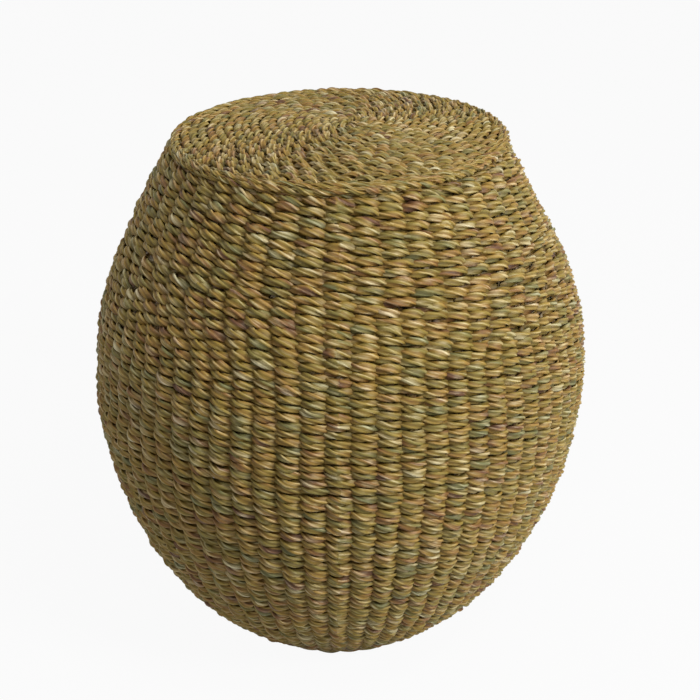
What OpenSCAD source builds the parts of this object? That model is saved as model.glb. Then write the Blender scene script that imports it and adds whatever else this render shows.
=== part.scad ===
// Round woven laundry basket with a flush lift-off lid.
// Twined courses of seagrass run round upright stakes, on a woven base and under a woven lid.
// Origin: centre of the base, on the floor. +Z is up. Millimetres.

/* [Form] */
// Outside diameter at the widest course
belly_d = 480; // [450:5:510]
// Height of the widest course above the floor
belly_h = 283; // [265:1:300]
// Height of the top of the mouth border, where the lid sits
mouth_h = 501; // [485:1:515]
// Outside diameter of the mouth border
mouth_d = 314; // [305:1:325]
// Outside diameter of the foot course
foot_d = 250; // [235:1:270]
// Outside diameter at the heel, where the wall turns in to the foot
heel_d = 411; // [405:1:417]
// Height of the heel
heel_h = 112; // [104:1:120]
// Height where the round belly turns into the straight shoulder
shoulder_h = 408; // [398:1:418]
// Slope of the shoulder, from upright
shoulder_slope = 29; // [27:0.5:29.5]
// Rise of the lid's middle above its edge
lid_rise = 6; // [2:1:12]

/* [Weave] */
// Height of one course of weft
course_pitch = 8.1; // [7.6:0.1:8.6]
// Thickness of the strand that lies on each side of a stake
strand_t = 3.5; // [3.2:0.1:4]
// Thickness of a stake
stake_t = 4; // [3:0.5:5]
// Width of a stake
stake_w = 5.5; // [4:0.5:7]
// Stakes that run from the foot to the mouth
main_stake_count = 48; // [44:4:56]
// Space between a stake and the strands round it
stake_play = 0.15; // [0.1:0.05:0.3]

/* [Borders] */
// Thickness of the foot course
foot_t = 13; // [11:0.5:15]
// Depth that is pressed flat under the foot course
foot_flat = 0.8; // [0.5:0.1:1.5]
// Thickness of the mouth border
mouth_border_t = 11; // [10:0.5:13]
// Thickness of the lid border
lid_border_t = 7; // [6.5:0.5:9]
// Diameter of the rattan hoop inside each border
hoop_d = 3.5; // [3:0.5:4.5]
// Play between each hoop and the border wrapped round it
hoop_play = 0.4; // [0.3:0.1:0.8]
// Width of the seam where a border's wrapping closes round its hoop
seam_w = 1; // [0.5:0.25:2]

/* [Lid fit] */
// Step from the mouth border in to the lid border, on the radius
lid_setback = 4; // [3:0.5:6]
// Radial play between the locating ring and the mouth
ring_play = 2.5; // [1.5:0.5:5]
// Thickness of the locating ring
ring_t = 8; // [7:0.5:10]
// Courses in the locating ring
ring_courses = 3; // [2:1:4]
// Gap between pieces that rest on each other
seat_gap = 0.3; // [0.2:0.05:0.5]

/* [Hidden] */
$fn = 96;

straw = [0.56, 0.48, 0.29];
olive = [0.47, 0.42, 0.25];
husk = [0.62, 0.55, 0.36];
rattan = [0.66, 0.50, 0.30];

// A course is two rounds of strand, one each side of the stakes, and rounds overlap up the wall
wall_t = stake_t + 2 * strand_t;
round_r = 0.59 * course_pitch;
round_off = wall_t / 2 - round_r;
layer_off = stake_t / 2 + stake_play;

// The wall's middle line runs from the centre of the foot course to that of the mouth border
foot_r = foot_d / 2 - foot_t / 2;
foot_z = foot_t / 2 - foot_flat;
border_r = mouth_d / 2 - mouth_border_t / 2;
border_z = mouth_h - mouth_border_t / 2;

// It is two arcs under the widest course, and an arc and a straight shoulder above it.
// At the heel and at the bend the outlines cross at a small angle.
belly_r = belly_d / 2 - wall_t / 2;
heel_r = heel_d / 2 - wall_t / 2;
bend_r = border_r + (border_z - shoulder_h) * tan(shoulder_slope);
lower_r = arc_radius(belly_r - heel_r, belly_h - heel_h);
upper_r = arc_radius(belly_r - bend_r, shoulder_h - belly_h);
lower_tilt = asin((belly_h - heel_h) / lower_r);
heel_break = 1.8;
heel_tilt = lower_tilt - heel_break;
heel_arc_r = (pow(heel_r - foot_r, 2) + pow(heel_h - foot_z, 2))
    / (2 * ((heel_r - foot_r) * cos(heel_tilt) - (heel_h - foot_z) * sin(heel_tilt)));
heel_x = heel_r - heel_arc_r * cos(heel_tilt);
heel_z = heel_h + heel_arc_r * sin(heel_tilt);
outline_lap = 2 * stake_t;

// Runs along the middle line, from 0 at the widest course, where each band of courses ends
heel_run = -lower_r * lower_tilt * PI / 180;
foot_run = heel_run - heel_arc_r * (asin((heel_z - foot_z) / heel_arc_r) - heel_tilt) * PI / 180;
bend_run = upper_r * asin((shoulder_h - belly_h) / upper_r) * PI / 180;
upper_run = bend_run + (border_z - shoulder_h) / cos(shoulder_slope);
foot_end = foot_run + foot_t / 2;
mouth_end = upper_run - mouth_border_t / 2;

// Every second gap between main stakes holds a side stake, which ends where the shoulder starts
side_stake_count = main_stake_count / 2;
main_step = 360 / main_stake_count;

// The base and the lid are discs: sticks between two layers of courses, inside a border
base_z = wall_t / 2 + foot_flat;
base_r = foot_r - foot_t / 2 - seat_gap;
lid_border_r = border_r + mouth_border_t / 2 - lid_setback - lid_border_t / 2;
lid_border_z = mouth_h + seat_gap + lid_border_t / 2;
lid_r = lid_border_r - lid_border_t / 2 - seat_gap;
hub_r = 4 * stake_w;
eye_r = 2;
ring_pitch = 0.85 * ring_t;
ring_r = border_r - mouth_border_t / 2 - ring_play - ring_t / 2;

// Radius of an arc that leaves upright and moves in by depth over the height
function arc_radius(depth, height) = (depth * depth + height * height) / (2 * depth);

// Tilt of the wall's outward side at run s, above level
function wall_angle(s) =
    s < heel_run ? (s - heel_run) / heel_arc_r * 180 / PI - heel_tilt :
    s < 0 ? s / lower_r * 180 / PI :
    s < bend_run ? s / upper_r * 180 / PI : shoulder_slope;

// Point on the wall's middle line at run s, and the point n outwards from it
function outward(s) = [cos(wall_angle(s)), sin(wall_angle(s))];
function wall_mid(s) =
    s < heel_run ? [heel_x, heel_z] + heel_arc_r * outward(s) :
    s < 0 ? [belly_r - lower_r, belly_h] + lower_r * outward(s) :
    s < bend_run ? [belly_r - upper_r, belly_h] + upper_r * outward(s) :
    [bend_r, shoulder_h] + (s - bend_run) * [-sin(shoulder_slope), cos(shoulder_slope)];
function wall_at(s, n) = wall_mid(s) + n * outward(s);

// All that lies inside one stretch of the wall's middle line moved out by n, in section
module inside_heel(n) {
    translate([heel_x, heel_z])
        circle(heel_arc_r + n);
}

module inside_lower(n) {
    translate([belly_r - lower_r, belly_h])
        circle(lower_r + n);
}

module inside_belly(n) {
    translate([belly_r - upper_r, belly_h])
        circle(upper_r + n);
}

module inside_shoulder(n) {
    translate([bend_r, shoulder_h])
        rotate(shoulder_slope)
            translate([n - belly_d, -mouth_h])
                square([belly_d, 2 * mouth_h]);
}

// The part of the child between two heights
module slab(z0, z1) {
    intersection() {
        children();
        translate([0, z0])
            square([belly_d, z1 - z0]);
    }
}

// All that lies inside the whole wall, with the stretches lapped where their outlines cross
module inside_wall(n) {
    slab(0, heel_h + outline_lap)
        inside_heel(n);
    slab(heel_h - outline_lap, belly_h)
        inside_lower(n);
    slab(belly_h, shoulder_h + outline_lap)
        inside_belly(n);
    slab(shoulder_h - outline_lap, mouth_h)
        inside_shoulder(n);
}

// Section of the wall's band between two runs, cut square to the middle line
module between_runs(s0, s1, gap) {
    difference() {
        children();
        translate(wall_mid(s0))
            rotate(wall_angle(s0))
                translate([-belly_d, gap - belly_h])
                    square([2 * belly_d, belly_h]);
        translate(wall_mid(s1))
            rotate(wall_angle(s1))
                translate([-belly_d, -gap])
                    square([2 * belly_d, mouth_h]);
    }
}

// One stake of the wall between two runs
module wall_stake(s0, s1) {
    rotate([90, 0, 0])
        linear_extrude(stake_w, center = true)
            between_runs(s0, s1, 0)
                difference() {
                    inside_wall(stake_t / 2);
                    inside_wall(-stake_t / 2);
                }
}

// A band of courses between two runs, in a layer on one side of the stakes.
// The child is all that lies inside that layer's face on the stakes.
module course_layer(s0, s1, side) {
    count = round((s1 - s0) / course_pitch);
    pitch = (s1 - s0) / count;
    rotate_extrude()
        between_runs(s0, s1, seat_gap / 2) {
            if (side > 0)
                difference() {
                    rounds(s0, pitch, count, round_off);
                    children();
                }
            else
                intersection() {
                    rounds(s0, pitch, count, -round_off);
                    children();
                }
        }
}

// Rounds of strand in section, n outwards from the middle line
module rounds(s0, pitch, count, n) {
    for (k = [0 : count - 1])
        translate(wall_at(s0 + (k + 0.5) * pitch, n))
            circle(round_r);
}

// Height of a disc's middle layer at radius x, when its middle rises above its edge
function disc_z(x, r, rise) = rise * (1 - x / r);

// Courses of a disc: a layer of rounds over the sticks and one under them
module disc_courses(r, rise) {
    count = round(r / course_pitch);
    pitch = r / count;
    for (side = [-1, 1])
        rotate_extrude()
            intersection() {
                union() {
                    for (k = [0 : count - 1])
                        translate([(k + 0.5) * pitch, disc_z((k + 0.5) * pitch, r, rise) + side * round_off])
                            circle(round_r);
                }
                polygon([
                    [eye_r, disc_z(eye_r, r, rise) + side * layer_off], [r, side * layer_off],
                    [r, side * wall_t], [eye_r, disc_z(eye_r, r, rise) + side * wall_t]
                ]);
            }
}

// Sticks of a disc: a crossing in the middle, then further sets where the sticks spread
module disc_sticks(r, rise) {
    set_count = main_stake_count / 4;
    starts = [hub_r - stake_w, 3.2 * hub_r, 1.9 * hub_r, 3.2 * hub_r];
    translate([0, 0, disc_z(hub_r / 2, r, rise)])
        cylinder(r = hub_r, h = 0.7 * stake_t, center = true);
    for (i = [0 : set_count - 1], j = [0 : 3])
        rotate((i + j / 4) * 360 / set_count)
            rotate([90, 0, 0])
                linear_extrude(stake_w, center = true)
                    polygon([
                        [starts[j], disc_z(starts[j], r, rise) - stake_t / 2], [r, -stake_t / 2],
                        [r, stake_t / 2], [starts[j], disc_z(starts[j], r, rise) + stake_t / 2]
                    ]);
}

// Border of thickness t wrapped round a hoop, with the seam where the wrapping closes
module border_ring(r, t, seam_angle) {
    rotate_extrude()
        translate([r, 0])
            difference() {
                circle(t / 2);
                circle(hoop_d / 2 + hoop_play);
                rotate(seam_angle)
                    translate([0, -seam_w / 2])
                        square([t, seam_w]);
            }
}

module hoop_ring(r) {
    rotate_extrude()
        translate([r, 0])
            circle(hoop_d / 2);
}

// ---- Base ----

module base_weave() {
    color(olive)
        translate([0, 0, base_z])
            disc_courses(base_r, 0);
}

module base_sticks() {
    color(husk)
        translate([0, 0, base_z])
            disc_sticks(base_r, 0);
}

// Thick course that turns the base up into the wall, pressed flat where it stands
module foot_course() {
    color(olive)
        rotate_extrude()
            intersection() {
                translate([foot_r, foot_z])
                    circle(foot_t / 2);
                square(foot_d);
            }
}

// ---- Wall ----

module main_stakes() {
    color(husk)
        for (i = [0 : main_stake_count - 1])
            rotate(i * main_step)
                wall_stake(foot_end, mouth_end);
}

module side_stakes() {
    color(husk)
        for (i = [0 : side_stake_count - 1])
            rotate((2 * i + 0.5) * main_step)
                wall_stake(foot_end, bend_run);
}

// Courses round all the stakes, from the foot over the heel to the widest course
module lower_courses() {
    color(straw)
        for (side = [-1, 1]) {
            course_layer(foot_end, heel_run, side)
                inside_heel(side * layer_off);
            course_layer(heel_run, 0, side)
                inside_lower(side * layer_off);
        }
}

// Courses round all the stakes, from the widest course to the shoulder
module belly_courses() {
    color(straw)
        for (side = [-1, 1])
            course_layer(0, bend_run, side)
                inside_belly(side * layer_off);
}

// Courses round the main stakes only, up to the mouth
module shoulder_courses() {
    color(straw)
        for (side = [-1, 1])
            course_layer(bend_run, mouth_end, side)
                inside_shoulder(side * layer_off);
}

module mouth_border() {
    color(olive)
        translate([0, 0, border_z])
            border_ring(border_r, mouth_border_t, -90);
}

module mouth_hoop() {
    color(rattan)
        translate([0, 0, border_z])
            hoop_ring(border_r);
}

// ---- Lid ----

module lid_weave() {
    color(straw)
        translate([0, 0, lid_border_z])
            disc_courses(lid_r, lid_rise);
}

module lid_sticks() {
    color(husk)
        translate([0, 0, lid_border_z])
            disc_sticks(lid_r, lid_rise);
}

module lid_border() {
    color(olive)
        translate([0, 0, lid_border_z])
            border_ring(lid_border_r, lid_border_t, 180);
}

module lid_hoop() {
    color(rattan)
        translate([0, 0, lid_border_z])
            hoop_ring(lid_border_r);
}

// Short stack of courses under the lid that drops into the mouth
module locating_ring() {
    color(olive)
        translate([0, 0, lid_border_z - wall_t / 2 - seat_gap])
            rotate_extrude()
                for (k = [0 : ring_courses - 1])
                    translate([ring_r, -ring_t / 2 - k * ring_pitch])
                        circle(ring_t / 2);
}

base_weave();
base_sticks();
foot_course();
main_stakes();
side_stakes();
lower_courses();
belly_courses();
shoulder_courses();
mouth_border();
mouth_hoop();
lid_weave();
lid_sticks();
lid_border();
lid_hoop();
locating_ring();
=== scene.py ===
import math

import bpy
import numpy as np
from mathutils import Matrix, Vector


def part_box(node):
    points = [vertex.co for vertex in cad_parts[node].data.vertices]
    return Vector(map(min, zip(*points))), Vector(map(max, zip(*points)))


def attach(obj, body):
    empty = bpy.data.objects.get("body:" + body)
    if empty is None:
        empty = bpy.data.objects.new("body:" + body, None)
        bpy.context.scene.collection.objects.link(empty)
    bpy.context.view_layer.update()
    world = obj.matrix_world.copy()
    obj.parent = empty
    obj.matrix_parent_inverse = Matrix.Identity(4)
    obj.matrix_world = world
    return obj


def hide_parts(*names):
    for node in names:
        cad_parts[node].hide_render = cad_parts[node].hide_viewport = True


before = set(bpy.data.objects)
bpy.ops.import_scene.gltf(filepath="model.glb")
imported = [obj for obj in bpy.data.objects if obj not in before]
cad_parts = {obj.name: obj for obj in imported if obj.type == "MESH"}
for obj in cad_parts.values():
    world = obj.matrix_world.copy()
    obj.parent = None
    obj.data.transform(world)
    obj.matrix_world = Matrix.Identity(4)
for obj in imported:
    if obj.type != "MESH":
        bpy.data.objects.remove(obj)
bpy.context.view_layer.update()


# ---- Stakes ------------------------------------------------------------------
# The uprights of the basket: cores of hard-twisted seagrass that run from the foot to the
# mouth, with a side stake let in at every second gap where the belly swells. The weft
# hides them, and what shows is that every stitch bulges over one.

class Value:
    """A socket of a shader tree. Plain maths on it adds Math nodes."""

    def __init__(self, tree, socket=None):
        self.tree, self.socket = tree, socket

    def node(self, kind, settings=None, inputs=None, output=0):
        made = self.tree.nodes.new(kind)
        for name, setting in (settings or {}).items():
            if name == "stops":
                ramp = made.color_ramp
                while len(ramp.elements) < len(setting):
                    ramp.elements.new(1.0)
                for element, (place, colour) in zip(ramp.elements, setting):
                    element.position, element.color = place, (*colour, 1.0)
            else:
                setattr(made, name, setting)
        for name, value in (inputs or {}).items():
            if isinstance(value, Value):
                self.tree.links.new(value.socket, made.inputs[name])
            else:
                made.inputs[name].default_value = value
        return Value(self.tree, made.outputs[output])

    def maths(self, operation, *values):
        return self.node("ShaderNodeMath", {"operation": operation}, dict(enumerate(values)))

    def __add__(self, other):
        return self.maths("ADD", self, other)

    def __radd__(self, other):
        return self.maths("ADD", other, self)

    def __sub__(self, other):
        return self.maths("SUBTRACT", self, other)

    def __rsub__(self, other):
        return self.maths("SUBTRACT", other, self)

    def __mul__(self, other):
        return self.maths("MULTIPLY", self, other)

    def __rmul__(self, other):
        return self.maths("MULTIPLY", other, self)

    def clamp(self, low, high):
        return self.maths("MINIMUM", self.maths("MAXIMUM", self, low), high)


def seagrass(name, shade, depth_shade, fibre_bump):
    """Dry seagrass: olive to golden blades, some pale or rusty, streaked along their length."""
    made = bpy.data.materials.new(name)
    made.use_nodes = True
    tree = made.node_tree
    shader = tree.nodes["Principled BSDF"]
    start = Value(tree)
    lie = start.node("ShaderNodeUVMap", {"uv_map": "strand"})
    tone = start.node("ShaderNodeAttribute", {"attribute_name": "tone"}, output=2)
    pale = start.node("ShaderNodeAttribute", {"attribute_name": "pale"}, output=2)
    # Depth below 1 is painted shade in the gaps of the weave and the grooves between blades
    depth = start.node("ShaderNodeAttribute", {"attribute_name": "depth"}, output=2)

    def fibres(along, across, detail):
        """Noise with so many cells to a metre along the strand and across it."""
        stretched = start.node("ShaderNodeVectorMath", {"operation": "MULTIPLY"},
                               {0: lie, 1: (along, across, 1.0)})
        return start.node("ShaderNodeTexNoise", {"noise_dimensions": "2D"},
                          {"Vector": stretched, "Scale": 1.0, "Detail": detail, "Roughness": 0.6})

    streak = fibres(55.0, 480.0, 4.0)
    patch = fibres(40.0, 170.0, 2.0)
    hair = fibres(140.0, 1900.0, 2.0)
    hue = (tone + (patch - 0.5) * 0.7).clamp(0.0, 1.0)
    dry = start.node("ShaderNodeValToRGB", {"stops": [
        (0.00, (0.110, 0.048, 0.020)),  # rust
        (0.15, (0.210, 0.104, 0.030)),  # tan
        (0.32, (0.285, 0.172, 0.036)),  # gold
        (0.55, (0.245, 0.170, 0.030)),  # straw
        (0.80, (0.185, 0.148, 0.034)),  # olive
        (1.00, (0.140, 0.136, 0.050)),  # grey green
    ]}, {"Fac": hue})
    bleach = (0.58, 0.53, 0.36, 1.0)
    bleached = start.node("ShaderNodeMix", {"data_type": "RGBA"},
                          {0: (pale * 0.8 + (streak - 0.52) * 1.7).clamp(0.0, 0.9),
                           6: dry, 7: bleach}, output=2)
    light = shade * (0.04 + streak * 1.45 + hair * 0.52)
    open_air = 1.0 - depth_shade + depth_shade * depth
    # Less light gets into the gaps, and what gets there is browner
    warm = start.node("ShaderNodeCombineColor", {}, {
        0: light * open_air, 1: light * start.maths("POWER", open_air, 1.15),
        2: light * start.maths("POWER", open_air, 1.6)})
    colour = start.node("ShaderNodeMix", {"data_type": "RGBA", "blend_type": "MULTIPLY"},
                        {0: 1.0, 6: bleached, 7: warm}, output=2)
    fibre_height = 0.0006
    bump = start.node("ShaderNodeBump", {}, {"Height": streak * 0.6 + hair * 0.4,
                                            "Strength": fibre_bump, "Distance": fibre_height})
    for socket, value in (("Base Color", colour), ("Normal", bump),
                          ("Roughness", 0.66 - 0.24 * streak)):
        tree.links.new(value.socket, shader.inputs[socket])
    shader.inputs["Specular IOR Level"].default_value = 0.4
    return made


def smooth_noise(rng, places, spacing, size):
    """Soft random values along a line of places, in units of spacing."""
    x = np.asarray(places) / spacing
    values = rng.normal(0.0, size, int(x.max()) + 4)
    low = np.floor(x).astype(int)
    part = x - low
    part = part * part * (3 - 2 * part)
    return values[low] * (1 - part) + values[low + 1] * part


course_pitch = 0.0081  # height of one course of weft
wall_thick = 0.011  # a stake with the strands on both sides of it


blades, sides = 4, 3  # blades rolled into a strand, and flats across each


def strand(rng, path, out, wide, thick, lift=None, closed=True, lay=0.055, tone=0.5, pale=0.0,
           unshaded=1.0):
    """A strand rolled from blades of grass and swept along a path. Out is the direction of its
    half thickness, and lift how far out of the weave's middle it lies. The blades wind round
    once in each lay, and each has its own tone. Below 1, the last argument paints shade on it."""
    around = blades * sides
    ahead = np.roll(path, -1, 0) - np.roll(path, 1, 0)
    if not closed:
        ahead[0], ahead[-1] = path[1] - path[0], path[-1] - path[-2]
    step = np.linalg.norm(np.roll(path, -1, 0) - path, axis=1)
    along = np.concatenate([[0.0], np.cumsum(step)])
    ahead /= np.linalg.norm(ahead, axis=1)[:, None]
    out = out - ahead * (out * ahead).sum(1)[:, None]  # square to the path
    out /= np.linalg.norm(out, axis=1)[:, None]
    side = np.cross(out, ahead)

    def blade_noise(spacing, size):
        return np.stack([smooth_noise(rng, along[:-1], spacing, size) for _ in range(blades)], 1)

    turns = max(1, round(along[-1] / lay))
    wind = 2 * math.pi * (turns * along[:-1, None] / along[-1] + rng.random())
    corner = np.arange(around)
    turn = corner[None, :] * 2 * math.pi / around + wind
    crown = np.minimum(1.0, 1.5 * np.sin(math.pi * (corner % sides) / sides))
    blade = corner // sides
    proud = np.clip(blade_noise(0.011, 0.10), -0.18, 0.18)
    # How far each corner lies out, as a share of the strand's half width or thickness
    swell = 0.58 + (0.48 + proud[:, blade]) * crown[None, :]
    beside = np.cos(turn) * swell * wide[:, None]
    above = np.sin(turn) * swell * thick[:, None]
    # Painted shade: depth is less the deeper a point lies in the weave, and in blade grooves
    depth = np.ones_like(above)
    if lift is not None:
        depth = np.abs(lift[:, None] + above) / (wall_thick / 2)
    own_tone = blade_noise(0.035, 0.19)
    own_pale = np.clip(blade_noise(0.03, 0.42) - 0.32, 0, 0.9)
    across = side[:, None] * beside[..., None] + out[:, None] * above[..., None]
    return {"points": path[:, None] + across,
            "along": along, "girth": math.pi * (wide + thick), "closed": closed,
            "tone": np.broadcast_to(tone, len(path))[:, None] + own_tone[:, blade],
            "pale": np.broadcast_to(pale, len(path))[:, None] + own_pale[:, blade],
            "depth": unshaded * np.clip(depth, 0.0, 1.0) * (0.32 + 0.68 * crown)}


def lay_mesh(name, strands, material, body, nodes):
    """One mesh from several strands, with where each point lies on its strand."""
    between_strands = 0.37  # a step along the fibre noise, so that no two strands match
    quads, lies, caps = [], [], []
    base = 0
    for index, made in enumerate(strands):
        count, around = made["points"].shape[:2]
        i = np.arange(count if made["closed"] else count - 1)[:, None]
        j = np.arange(around)[None, :]
        i2, j2 = (i + 1) % count, (j + 1) % around
        corners = np.stack([i * around + j, i * around + j2,
                            i2 * around + j2, i2 * around + j], -1)
        quads.append(corners.reshape(-1, 4) + base)
        u0 = made["along"][i] + index * between_strands
        u1 = made["along"][i + 1] + index * between_strands
        girth = made["girth"][i]
        v0, v1 = j / around * girth, (j + 1) / around * girth
        lie = np.stack([np.stack(np.broadcast_arrays(u, v), -1)
                        for u, v in ((u0, v0), (u0, v1), (u1, v1), (u1, v0))], -2)
        lies.append(lie.reshape(-1, 2))
        if not made["closed"]:
            end = base + (count - 1) * around
            caps += [base + np.arange(around)[::-1], end + np.arange(around)]
        base += count * around
    quads = np.concatenate(quads)
    corner_ids = np.concatenate([quads.reshape(-1), *caps])
    sizes = np.concatenate([np.full(len(quads), 4), [len(cap) for cap in caps]]).astype(int)
    lie = np.concatenate([*lies, np.zeros((sum(len(cap) for cap in caps), 2))])
    mesh = bpy.data.meshes.new(name)
    mesh.vertices.add(base)
    points = np.concatenate([made["points"].reshape(-1, 3) for made in strands])
    mesh.vertices.foreach_set("co", points.astype(np.float32).ravel())
    mesh.loops.add(len(corner_ids))
    mesh.loops.foreach_set("vertex_index", corner_ids.astype(np.int32))
    mesh.polygons.add(len(sizes))
    starts = np.concatenate([[0], np.cumsum(sizes)[:-1]])
    mesh.polygons.foreach_set("loop_start", starts.astype(np.int32))
    mesh.update(calc_edges=True)
    mesh.uv_layers.new(name="strand").data.foreach_set("uv", lie.astype(np.float32).ravel())
    for label in ("tone", "pale", "depth"):
        values = np.concatenate([made[label].ravel() for made in strands]).astype(np.float32)
        mesh.attributes.new(label, "FLOAT", "POINT").data.foreach_set("value", values)
    mesh.polygons.foreach_set("use_smooth", np.ones(len(sizes), bool))
    mesh.materials.append(material)
    mesh.validate()
    piece = bpy.data.objects.new(name, mesh)
    bpy.context.collection.objects.link(piece)
    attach(piece, body)
    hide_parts(*nodes)
    return piece


# The wall's middle line in section, from the boxes of the pieces that it joins
foot_thick = 0.013
foot_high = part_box("foot_course")[1]
mouth_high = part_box("mouth_border")[1]
belly_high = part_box("belly_courses")[1]
widest_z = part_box("lower_courses")[1][2]
bend_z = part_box("side_stakes")[1][2]
foot_r = foot_high[0] - foot_thick / 2
foot_z = foot_high[2] - foot_thick / 2
mouth_thick = 0.011
mouth_r = mouth_high[0] - mouth_thick / 2
mouth_z = mouth_high[2] - mouth_thick / 2
belly_r = belly_high[0] - wall_thick / 2
shoulder_slope = math.radians(29.0)
bend_r = mouth_r + (mouth_z - bend_z) * math.tan(shoulder_slope)
# Below the heel the wall turns in to the foot more sharply, from a slight break in its slope
heel_r, heel_z, heel_break = 0.200, 0.112, math.radians(1.8)


def arc_radius(inward, height):
    """The radius of an arc that starts upright and comes so far inward over a height."""
    return (inward ** 2 + height ** 2) / (2 * inward)


lower_arc = arc_radius(belly_r - heel_r, widest_z - heel_z)
upper_arc = arc_radius(belly_r - bend_r, bend_z - widest_z)
lower_tilt = math.asin((widest_z - heel_z) / lower_arc)
heel_tilt = lower_tilt - heel_break
heel_in, heel_up = heel_r - foot_r, heel_z - foot_z
heel_arc = ((heel_in ** 2 + heel_up ** 2)
            / (2 * (heel_in * math.cos(heel_tilt) - heel_up * math.sin(heel_tilt))))
heel_middle = (heel_r - heel_arc * math.cos(heel_tilt), heel_z + heel_arc * math.sin(heel_tilt))
heel_run = -lower_arc * lower_tilt
foot_run = heel_run - heel_arc * (math.asin((heel_middle[1] - foot_z) / heel_arc) - heel_tilt)
bend_run = upper_arc * math.asin((bend_z - widest_z) / upper_arc)
mouth_run = bend_run + (mouth_z - bend_z) / math.cos(shoulder_slope)


def smooth_step(x):
    x = np.clip(x, 0.0, 1.0)
    return x * x * (3 - 2 * x)


low_lean, heel_lean, belly_flat = 0.0045, 0.0015, 0.0035


def astray(run, angle):
    """How far the hand-made wall strays out of the round: it leans low down, and is flatter on
    one side above the belly."""
    low = smooth_step((-0.09 - run) / 0.14)
    high = smooth_step((run + 0.03) / 0.04) * smooth_step((0.17 - run) / 0.06)
    right = 0.5 + 0.5 * np.cos(angle)
    heel = smooth_step((-0.16 - run) / 0.06)
    return (-low_lean * low * right ** 2 - belly_flat * high * (1 - right) ** 3
            - heel_lean * heel * (1 - right) ** 2)


def wall_at(run, angle, out, up=0.0):
    """Points of the wall, the outward direction there: run along the middle line from the
    widest course, out from it."""
    run = run + up
    heel = run < heel_run
    tilt = np.where(heel, (run - heel_run) / heel_arc - heel_tilt,
                    np.where(run < 0, run / lower_arc, np.minimum(run, bend_run) / upper_arc))
    arc = np.where(heel, heel_arc, np.where(run < 0, lower_arc, upper_arc))
    over = np.maximum(run - bend_run, 0.0)
    out = out + astray(run, angle)
    r = (np.where(heel, heel_middle[0], belly_r - arc) + (arc + out) * np.cos(tilt)
         - over * math.sin(shoulder_slope))
    z = (np.where(heel, heel_middle[1], widest_z) + (arc + out) * np.sin(tilt)
         + over * math.cos(shoulder_slope))
    tilt = tilt + 0 * angle  # one for each angle, also where the run is a single number
    outward = [np.cos(tilt) * np.cos(angle), np.cos(tilt) * np.sin(angle), np.sin(tilt)]
    return np.stack([r * np.cos(angle), r * np.sin(angle), z], -1), np.stack(outward, -1)


main_count = 48
first_share = 0.45
side_count = main_count // 2
spread_rounds = 5.0  # rounds until a side stake has its full share of room
tuck_steps = 6  # half courses that a side stake is pushed up into the weave
rng = np.random.default_rng(11)
pair_start = np.repeat(rng.permutation(np.linspace(-2.0, 4.0, side_count // 2)), 2)
main_share = 1 + 0.05 * rng.normal(size=main_count)


def stake_angles(run):
    """Where the stakes stand at a height: a side stake makes its own room round by round."""
    below = (bend_run - run) / course_pitch
    share, kind = [], []
    for i in range(main_count):
        share.append(main_share[i])
        kind.append(i)
        if i % 2 == 0:
            age = below - pair_start[i // 2]
            if age > 0:
                share.append(min(1.0, first_share + (1 - first_share) * age / spread_rounds))
                kind.append(main_count + i // 2)
    share = np.array(share)
    middle = np.cumsum(share) - share / 2
    angle = (middle - middle[0]) / share.sum() * 2 * math.pi - math.pi / 2
    return angle, np.array(kind)


stake_wide, stake_thick = 0.0080, 0.0034
stake_paths = {}
for run in np.arange(foot_run, mouth_run - mouth_thick / 2, course_pitch / 2):
    angle, kind = stake_angles(run)
    for a, k in zip(angle, kind):
        stake_paths.setdefault(int(k), []).append((run, a))
for k, places in stake_paths.items():
    if k >= main_count:
        top, a = places[-1]
        places += [(top + course_pitch * (step + 1) / 2, a) for step in range(tuck_steps)]

# Painted shade: the stakes are darker and browner than the weft, to show as shade in the gaps
stake_skin = seagrass("stake_seagrass", 0.6, 0.3, 0.3)
for name, low, high in (("main_stakes", 0, main_count),
                        ("side_stakes", main_count, main_count + side_count)):
    rods = []
    for k, places in stake_paths.items():
        if low <= k < high and len(places) > 2:
            run, angle = np.array(places).T
            path, out = wall_at(run, angle, 0.0)
            rods.append(strand(rng, path, out, np.full(len(run), stake_wide / 2),
                               np.full(len(run), stake_thick / 2), closed=False, lay=0.022,
                               tone=0.3))
    lay_mesh("woven_" + name, rods, stake_skin, "basket", [name])


# ---- Wall courses ------------------------------------------------------------
# Two soft strands of seagrass twine round the basket, crossing between the stakes, so that
# each stitch bulges over one stake and leans down to the right. Near the mouth neighbouring
# stitches sit half a round apart, and low on the wall the columns stand out as ribs.

rng = np.random.default_rng(8)
wave_height = 0.0012
waves = [(turns, wave_height / turns ** 0.6, rng.uniform(-60, 60), rng.uniform(0, 6.28))
         for turns in (1, 2, 3, 5, 7, 11, 16)]


def wander(run, angle):
    """How far the rounds rise and fall on their way, in step with their neighbours."""
    return sum(size * np.sin(turns * angle + bend * run + start)
               for turns, size, bend, start in waves)


cell_jitter = 0.07  # how far a stitch strays from its stake, as a share of their spacing


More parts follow.
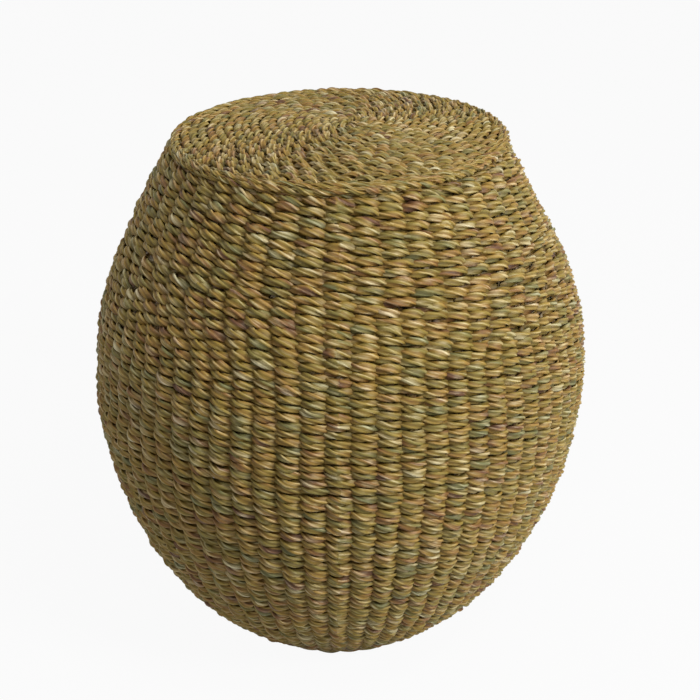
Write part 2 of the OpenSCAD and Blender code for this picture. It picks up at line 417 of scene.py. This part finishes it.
def twined_round(rng, run, angle, front, lean, stagger, high, crossing=0.34, full=0.46, bow=0.0,
                 loose=0.0006, unshaded=1.0, steps=10):
    """The two strands of one round: front is how far out they lie over a stake, lean how far a
    stitch drops to its right end, stagger how far one strand lies above the other and high the
    round's height. Crossing and full are a strand's half width between and over the stakes as
    shares of that, and bow how far a stitch rises over its stake."""
    count = len(angle)
    x = np.arange(count * steps) / steps
    angle = angle + cell_jitter * 2 * math.pi / count * np.clip(rng.normal(size=count), -1.6, 1.6)
    turn = np.interp(x, np.arange(count + 1), np.append(angle, angle[0] + 2 * math.pi))
    made = []
    for k in (0, 1):
        phase = math.pi * (x + k)
        over = np.cos(phase)
        jitter = np.clip(rng.normal(0.0, 1.0, (7, count + 1)), -1.7, 1.7)
        jitter[:, -1] = jitter[:, 0]
        own = [np.interp(x, np.arange(count + 1), row) for row in jitter]
        out = front * over * (1 + 0.14 * own[0]) + 0.0002 * own[5]
        up = (-lean * (1 + 0.3 * own[1]) * (np.sin(phase) - 0.09 * np.sin(3 * phase))
              + stagger * (1 - 2 * k) + bow * over + wander(run, turn) + loose * own[2])
        flat = np.abs(over)
        wide = (crossing + (full - crossing + 0.05 * own[3]) * flat) * high
        thick = (0.30 + 0.08 * flat) * high * (1 + 0.10 * own[4])
        path, outward = wall_at(run, turn, out, up)
        made.append(strand(rng, path, outward, wide, thick, lift=out, tone=0.50 + 0.17 * own[6],
                           pale=np.clip(0.35 * np.abs(own[5]) - 0.38, 0.0, 0.7),
                           unshaded=unshaded, lay=0.050 + 0.012 * rng.random()))
    return made


weft_skin = seagrass("weft_seagrass", 1.40, 0.68, 0.6)
rounds_per_piece = 5
half_step = 0.25  # half of the step up between the two strands, where the stitches lie like bricks
for name, low, high in (("lower_courses", foot_run + foot_thick / 2, 0.0),
                        ("belly_courses", 0.0, bend_run),
                        ("shoulder_courses", bend_run, mouth_run - mouth_thick / 2)):
    level = np.linspace(low, high, 200)
    # The rounds are beaten down closer just above the widest one
    packed = np.interp(level, [-0.03, 0.01, 0.06, 0.11], [1.06, 0.88, 0.90, 1.0]) * course_pitch
    to_a_metre = (1 / packed[1:] + 1 / packed[:-1]) / 2
    laid = np.concatenate([[0.0], np.cumsum(to_a_metre * np.diff(level))])
    count = round(laid[-1])
    edges = np.interp(np.arange(count + 1) * laid[-1] / count, laid, level)
    rounds = []
    for i in range(count):
        run, pitch = (edges[i] + edges[i + 1]) / 2, edges[i + 1] - edges[i]
        angle, _ = stake_angles(run)
        from_mouth = mouth_run - run
        ribbed = np.interp(from_mouth, [0.17, 0.33], [0.0, 1.0])
        stagger = pitch * np.interp(from_mouth, [0.006, 0.014, 0.165, 0.215],
                                    [0.12, half_step, half_step, 0.0])
        front = np.interp(from_mouth, [0.15, 0.30, 0.44, 0.52], [0.0037, 0.0045, 0.0042, 0.0026])
        brick = stagger / pitch / half_step
        # 1 where side stakes are let in, and the strands are wider to close the wall
        let_in = np.interp((bend_run - run) / course_pitch, [-4, -2, 5, 8], [0.0, 1.0, 1.0, 0.0])
        lean = 0.08 + 0.02 * brick
        full = np.interp(from_mouth, [0.15, 0.30, 0.42], [0.49, 0.45, 0.36])
        crossing = 0.59 + 0.07 * let_in - abs(stagger / pitch - lean)
        bow = pitch * 0.12 * (1 - brick)
        loose = 0.0006 + 0.0004 * ribbed
        # Painted shade: the rounds are darker near the floor, the lowest ones most
        unshaded = np.interp(run - foot_run, [0.013, 0.065], [0.1, 1.0])
        rounds.append(twined_round(rng, run, angle, front, pitch * lean, stagger, pitch,
                                   crossing, full, bow, loose, unshaded))
    for first in range(0, count, rounds_per_piece):
        group = [one for pair in rounds[first:first + rounds_per_piece] for one in pair]
        lay_mesh(f"{name}_{first // rounds_per_piece + 1}", group, weft_skin, "basket",
                 [name])


# ---- Foot and mouth borders --------------------------------------------------
# The foot is a thick course of three strands that turns the base up into the wall. At the
# mouth the stake ends are laid down along a rattan hoop, and two close rounds bind them in.

def rope(rng, r, z, size, plies, lay, shift=0.0, floor_z=None):
    """A ring of strands that wind round each other once in about each lay."""
    angle = np.linspace(0.0, 2 * math.pi, 360, endpoint=False)
    twists = round(2 * math.pi * r / lay)
    share = math.sin(math.pi / plies)
    pressed = 1.28  # the strands are squeezed together, so each is wider than a round one
    own = size / 2 * pressed * share / (1 + share)
    made = []
    for k in range(plies):
        phase = twists * angle + 2 * math.pi * k / plies
        wobble = 0.0004 * np.sin(3 * angle + k) + 0.0003 * np.sin(7 * angle + 2 * k)
        pr = r + (size / 2 - own) * np.cos(phase) + wobble
        pz = z + (size / 2 - own) * np.sin(phase)
        path = np.stack([shift + pr * np.cos(angle), pr * np.sin(angle), pz], -1)
        out = np.stack([np.cos(phase) * np.cos(angle), np.cos(phase) * np.sin(angle),
                        np.sin(phase)], -1)
        wide = own * (1.12 + smooth_noise(rng, angle * r, 0.03, 0.08))
        one = strand(rng, path, out, wide, wide * 0.92,
                     tone=0.5 + smooth_noise(rng, angle * r, 0.05, 0.10))
        if floor_z is not None:
            one["points"][..., 2] = np.maximum(one["points"][..., 2], floor_z)
        made.append(one)
    return made


border_skin = seagrass("border_seagrass", 1.28, 0.5, 0.6)
foot_shift = float(astray(np.array(foot_run), 0.0)) / 2
rng = np.random.default_rng(21)
lay_mesh("foot_rope", rope(rng, foot_r, foot_z, foot_thick, 3, 0.060, foot_shift, floor_z=0.0),
         border_skin, "basket", ["foot_course"])
angle, _ = stake_angles(mouth_run)
bound = []
for over_mouth, front, high in ((-0.0021, 0.0034, 0.0076), (0.0034, 0.0021, 0.0050)):
    bound += twined_round(rng, mouth_run + over_mouth, angle, front, high * 0.25, 0.0, high)
lay_mesh("mouth_rounds", bound, weft_skin, "basket", ["mouth_border"])


# ---- Base and lid discs ------------------------------------------------------
# Both are worked from a crossing of sticks outwards in one long spiral of twined seagrass.
# The lid's middle lies a little off its centre, so its outer rounds run out at the border.

def disc(rng, middle, shift, reach, z_at, cell_in, cell_out, front, lean, steps=9):
    """The two strands of a spiral, in pieces where it runs out under the border."""
    first_turn, samples_to_a_metre = 0.35, 1.2e5
    far = reach + math.hypot(*middle)
    angle = np.linspace(first_turn * 2 * math.pi, far / course_pitch * 2 * math.pi,
                        int(far * samples_to_a_metre))
    r = course_pitch * angle / (2 * math.pi)
    cell = np.interp(r, [0.0, 0.05, reach], [cell_in, (cell_in + cell_out) / 2, cell_out])
    x = np.cumsum(np.gradient(angle) * r / cell)
    x = x + smooth_noise(rng, x, 4.0, 0.45)
    x = np.maximum.accumulate(x) - x[0]
    angle = np.interp(np.arange(0.0, x[-1], 1 / steps), x, angle)
    x = np.arange(len(angle)) / steps
    r = course_pitch * angle / (2 * math.pi)
    made = []
    for k in (0, 1):
        phase = math.pi * (x + k)
        over = np.cos(phase)
        jitter = [np.clip(smooth_noise(rng, x, 1.0, 1.0), -1.7, 1.7) for _ in range(7)]
        lift = front * over * (1 + 0.12 * jitter[0]) + 0.0003 * jitter[5]
        rr = (r + lean * (1 + 0.25 * jitter[1]) * (np.sin(phase) - 0.07 * np.sin(3 * phase))
              + 0.0009 * np.sin(3 * angle + 1.0) + 0.0006 * np.sin(5 * angle) + 0.0007 * jitter[2])
        px, py = middle[0] + rr * np.cos(angle), middle[1] + rr * np.sin(angle)
        path = np.stack([px + shift, py, z_at(px, py) + lift], -1)
        flat = np.abs(over)
        wide = (0.38 + (0.04 + 0.05 * jitter[3]) * flat) * course_pitch
        thick = (0.28 + 0.02 * flat) * course_pitch * (1 + 0.08 * jitter[4])
        tone = 0.5 + 0.12 * jitter[6]
        pale = np.clip(0.35 * np.abs(jitter[5]) - 0.30, 0.0, 0.7)
        up = np.broadcast_to([0.0, 0.0, 1.0], path.shape).copy()
        inside = np.hypot(px, py) < reach
        edges = np.flatnonzero(np.diff(np.concatenate([[0], inside.astype(int), [0]])))
        for first, last in zip(edges[::2], edges[1::2]):
            if last - first > steps:
                part = slice(first, last)
                made.append(strand(rng, path[part], up[part], wide[part], thick[part], lift[part],
                                   closed=False, tone=tone[part], pale=pale[part], lay=0.038))
    return made


def lay_disc(name, strands, material, body, node, most_faces=90000):
    """The strands of a disc, in meshes with at most so many faces."""
    groups, size = [[]], 0
    for one in strands:
        count = one["points"].shape[0] * one["points"].shape[1]
        if size + count > most_faces and groups[-1]:
            groups.append([])
            size = 0
        groups[-1].append(one)
        size += count
    for i, group in enumerate(groups):
        lay_mesh(f"{name}_{i + 1}", group, material, body, [node])


base_low, base_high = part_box("base_weave")
base_z = (base_low[2] + base_high[2]) / 2
lid_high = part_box("lid_weave")[1]
rim_low, rim_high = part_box("lid_border")
rim_thick = rim_high[2] - rim_low[2]
rim_r = rim_high[0] - rim_thick / 2
rim_z = (rim_low[2] + rim_high[2]) / 2
lid_reach = lid_high[0]
lid_rise = lid_high[2] - rim_z - wall_thick / 2
rim_tilt = 0.0025


def base_face(x, y):
    return np.full(np.shape(x), base_z)


def lid_sag(x, y):
    """The lid sits a little deeper at one side."""
    return rim_tilt * ((x - 0.3 * y) / lid_reach - 0.35)


def lid_face(x, y):
    return rim_z + lid_rise * (1 - (x * x + y * y) / lid_reach ** 2) + lid_sag(x, y)


rng = np.random.default_rng(33)
disc_cells = 0.009, 0.016  # length of a stitch's half in the middle and at the edge
lay_disc("base_spiral", disc(rng, (0.004, -0.003), foot_shift, base_high[0], base_face,
                             *disc_cells, 0.0023, course_pitch * 0.28),
         weft_skin, "basket", "base_weave")
lid_skin = seagrass("lid_seagrass", 1.44, 0.58, 0.6)
lay_disc("lid_spiral", disc(rng, (0.015, 0.015), 0.0, lid_reach, lid_face,
                            *disc_cells, 0.0029, course_pitch * 0.24),
         lid_skin, "lid", "lid_weave")


# ---- Lid border and locating ring --------------------------------------------
# Strands twined over a rattan hoop close the disc's edge. Under the lid a short stack of
# rope courses is sewn on, which drops into the mouth and keeps the lid in its place.

def hoop_round(rng, r, z, facing, size, cell, reach, steps=10):
    """Two strands twined round a hoop, with their stitches on the side that faces out at an
    angle above level."""
    count = 2 * round(math.pi * r / cell)
    x = np.arange(count * steps) / steps
    even = x / count * 2 * math.pi
    angle = even + rng.random() + 0.02 * np.sin(5 * even + 6 * rng.random())
    made = []
    for k in (0, 1):
        phase = math.pi * (x + k)
        jitter = [np.clip(smooth_noise(rng, x, 1.0, 1.0), -1.7, 1.7) for _ in range(5)]
        lift = reach + 0.20 * size * np.cos(phase) * (1 + 0.2 * jitter[0])
        up = (-0.22 * size * (1 + 0.3 * jitter[1]) * (np.sin(phase) - 0.09 * np.sin(3 * phase))
              + 0.0007 * jitter[2])
        pr = r + lift * math.cos(facing) - up * math.sin(facing)
        pz = (z + lift * math.sin(facing) + up * math.cos(facing)
              + lid_sag(lid_reach * np.cos(angle), lid_reach * np.sin(angle)))
        path = np.stack([pr * np.cos(angle), pr * np.sin(angle), pz], -1)
        out = np.stack([math.cos(facing) * np.cos(angle), math.cos(facing) * np.sin(angle),
                        np.full(len(x), math.sin(facing))], -1)
        flat = np.abs(np.cos(phase))
        wide = (0.28 + (0.10 + 0.05 * jitter[3]) * flat) * size
        made.append(strand(rng, path, out, wide, wide * 0.7, lift=lift, lay=0.045,
                           tone=0.5 + 0.12 * jitter[4]))
    return made


ring_low, ring_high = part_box("locating_ring")
ring_count = 3
ring_thick = 0.008
ring_r = ring_high[0] - ring_thick / 2
ring_step = (ring_high[2] - ring_low[2] - ring_thick) / (ring_count - 1)
rng = np.random.default_rng(44)
rim = []
rim_reach = 0.0031
for facing, size, cell in ((0.95, 0.0050, 0.0145), (-0.35, 0.0068, 0.0125),
                           (-1.65, 0.0058, 0.014), (-2.90, 0.0058, 0.014), (-4.15, 0.0058, 0.014)):
    rim += hoop_round(rng, rim_r, rim_z, facing, size, cell, rim_reach)
lay_mesh("lid_rim", rim, lid_skin, "lid", ["lid_border"])
stack = []
for i in range(ring_count):
    stack += rope(rng, ring_r, ring_low[2] + ring_thick / 2 + i * ring_step, ring_thick, 2, 0.040)
lay_mesh("locating_rope", stack, border_skin, "lid", ["locating_ring"])


# ---- Sticks and hoops --------------------------------------------------------
# The crossed sticks inside the two discs are split palm rib, and the hoops inside the borders
# are peeled rattan. Both are closed in, and show only as slivers between stitches. The lid's
# own follow it where it sits a little deeper.

def stick_wood(name, colour, grain):
    """Split or peeled wood with a soft grain, from a dark to a light shade of the colour."""
    made = bpy.data.materials.new(name)
    made.use_nodes = True
    tree = made.node_tree
    shader = tree.nodes["Principled BSDF"]
    start = Value(tree)
    place = start.node("ShaderNodeTexCoord", output=3)
    noise = start.node("ShaderNodeTexNoise", {}, {"Vector": place, "Scale": grain, "Detail": 3.0})
    dark = tuple(0.6 * c for c in colour)
    skin = start.node("ShaderNodeMix", {"data_type": "RGBA"},
                      {0: noise, 6: (*dark, 1.0), 7: (*colour, 1.0)}, output=2)
    tree.links.new(skin.socket, shader.inputs["Base Color"])
    tree.links.new((0.75 - 0.2 * noise).socket, shader.inputs["Roughness"])
    return made


settle = 0.0006  # how far the lid's sticks and hoop lie below the middle of its weave
rib = stick_wood("palm_rib", (0.20, 0.14, 0.06), 180.0)
rattan = stick_wood("peeled_rattan", (0.42, 0.28, 0.13), 120.0)
for name, skin in (("base_sticks", rib), ("mouth_hoop", rattan)):
    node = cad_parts[name]
    if not node.material_slots:
        node.data.materials.append(skin)
    for place in node.material_slots:
        place.material = skin
for name, skin, slot in (("lid_sticks", rib, "stakes"), ("lid_hoop", rattan, "hoop")):
    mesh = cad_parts[name].data.copy()
    points = np.empty(len(mesh.vertices) * 3, np.float32)
    mesh.vertices.foreach_get("co", points)
    points = points.reshape(-1, 3)
    points[:, 2] += lid_sag(points[:, 0], points[:, 1]) - settle
    mesh.vertices.foreach_set("co", points.ravel())
    mesh.update()
    mesh.materials.clear()
    mesh.materials.append(skin)
    piece = bpy.data.objects.new("settled_" + name, mesh)
    bpy.context.collection.objects.link(piece)
    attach(piece, "lid")
    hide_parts(name)


# ---- Floor, light and camera -------------------------------------------------
# A white studio sweep: a plain floor that keeps a faint shadow, soft light from above and
# from the front right, and a camera that looks down on the basket.

half = 8  # of the floor's width, far beyond what is seen
floor_mesh = bpy.data.meshes.new("floor")
floor_mesh.from_pydata([(-half, -half, 0), (half, -half, 0), (half, half, 0), (-half, half, 0)],
                       [], [(0, 1, 2, 3)])
floor = bpy.data.objects.new("floor", floor_mesh)
bpy.context.collection.objects.link(floor)


def seen_directly(tree, *kinds):
    """1 for rays of these kinds, 0 for the light that falls on the object."""
    ray = tree.nodes.new("ShaderNodeLightPath")
    seen = Value(tree, ray.outputs["Is " + kinds[0] + " Ray"])
    for kind in kinds[1:]:
        seen = seen.maths("MAXIMUM", seen, Value(tree, ray.outputs["Is " + kind + " Ray"]))
    return seen


floor_paint = bpy.data.materials.new("floor_paint")
floor_paint.use_nodes = True
tree = floor_paint.node_tree
start = Value(tree)
matt = start.node("ShaderNodeBsdfDiffuse", {}, {"Color": (0.50, 0.50, 0.50, 1.0)})
glow = start.node("ShaderNodeEmission", {}, {"Color": (1.0, 1.0, 1.0, 1.0), "Strength": 1.0})
glow_share = 0.94  # the rest lets the basket's shadow show
mixed = start.node("ShaderNodeMixShader", {}, {
    0: seen_directly(tree, "Camera", "Glossy") * glow_share, 1: matt, 2: glow})
tree.links.new(mixed.socket, tree.nodes["Material Output"].inputs["Surface"])
floor_mesh.materials.append(floor_paint)

world = bpy.data.worlds.new("studio")
bpy.context.scene.world = world
world.use_nodes = True
tree = world.node_tree
ambient = 0.40
strength = ambient + (1.0 - ambient) * seen_directly(tree, "Camera", "Glossy", "Transmission")
tree.nodes["Background"].inputs["Color"].default_value = (1.0, 1.0, 1.0, 1.0)
tree.links.new(strength.socket, tree.nodes["Background"].inputs["Strength"])


def lamp(name, place, target, size, power):
    """A round soft light that faces its target."""
    light = bpy.data.lights.new(name, "AREA")
    light.shape, light.size, light.energy = "DISK", size, power
    made = bpy.data.objects.new(name, light)
    made.location = place
    made.rotation_mode = "QUATERNION"
    made.rotation_quaternion = Vector(np.subtract(target, place)).to_track_quat("-Z", "Y")
    bpy.context.collection.objects.link(made)


lamp("above", (0.75, -0.8, 2.3), (0, 0, 0.28), 0.5, 13.0)
lamp("beside", (1.5, -1.1, 1.4), (0, 0, 0.28), 0.5, 27.0)

sight = bpy.data.cameras.new("camera")
camera = bpy.data.objects.new("camera", sight)
bpy.context.collection.objects.link(camera)
distance, elevation = 1.2, math.radians(27.0)
sight.sensor_width, sight.lens = 36.0, 61.66
sight.shift_x = 0.0157  # the basket stands a little left of the middle of the view
sight.clip_start = 0.05
camera.location = (0.0, -distance * math.cos(elevation), widest_z + distance * math.sin(elevation))
camera.rotation_euler = (math.pi / 2 - elevation, 0.0, 0.0)
bpy.context.scene.camera = camera
bpy.context.scene.view_settings.view_transform = "Standard"
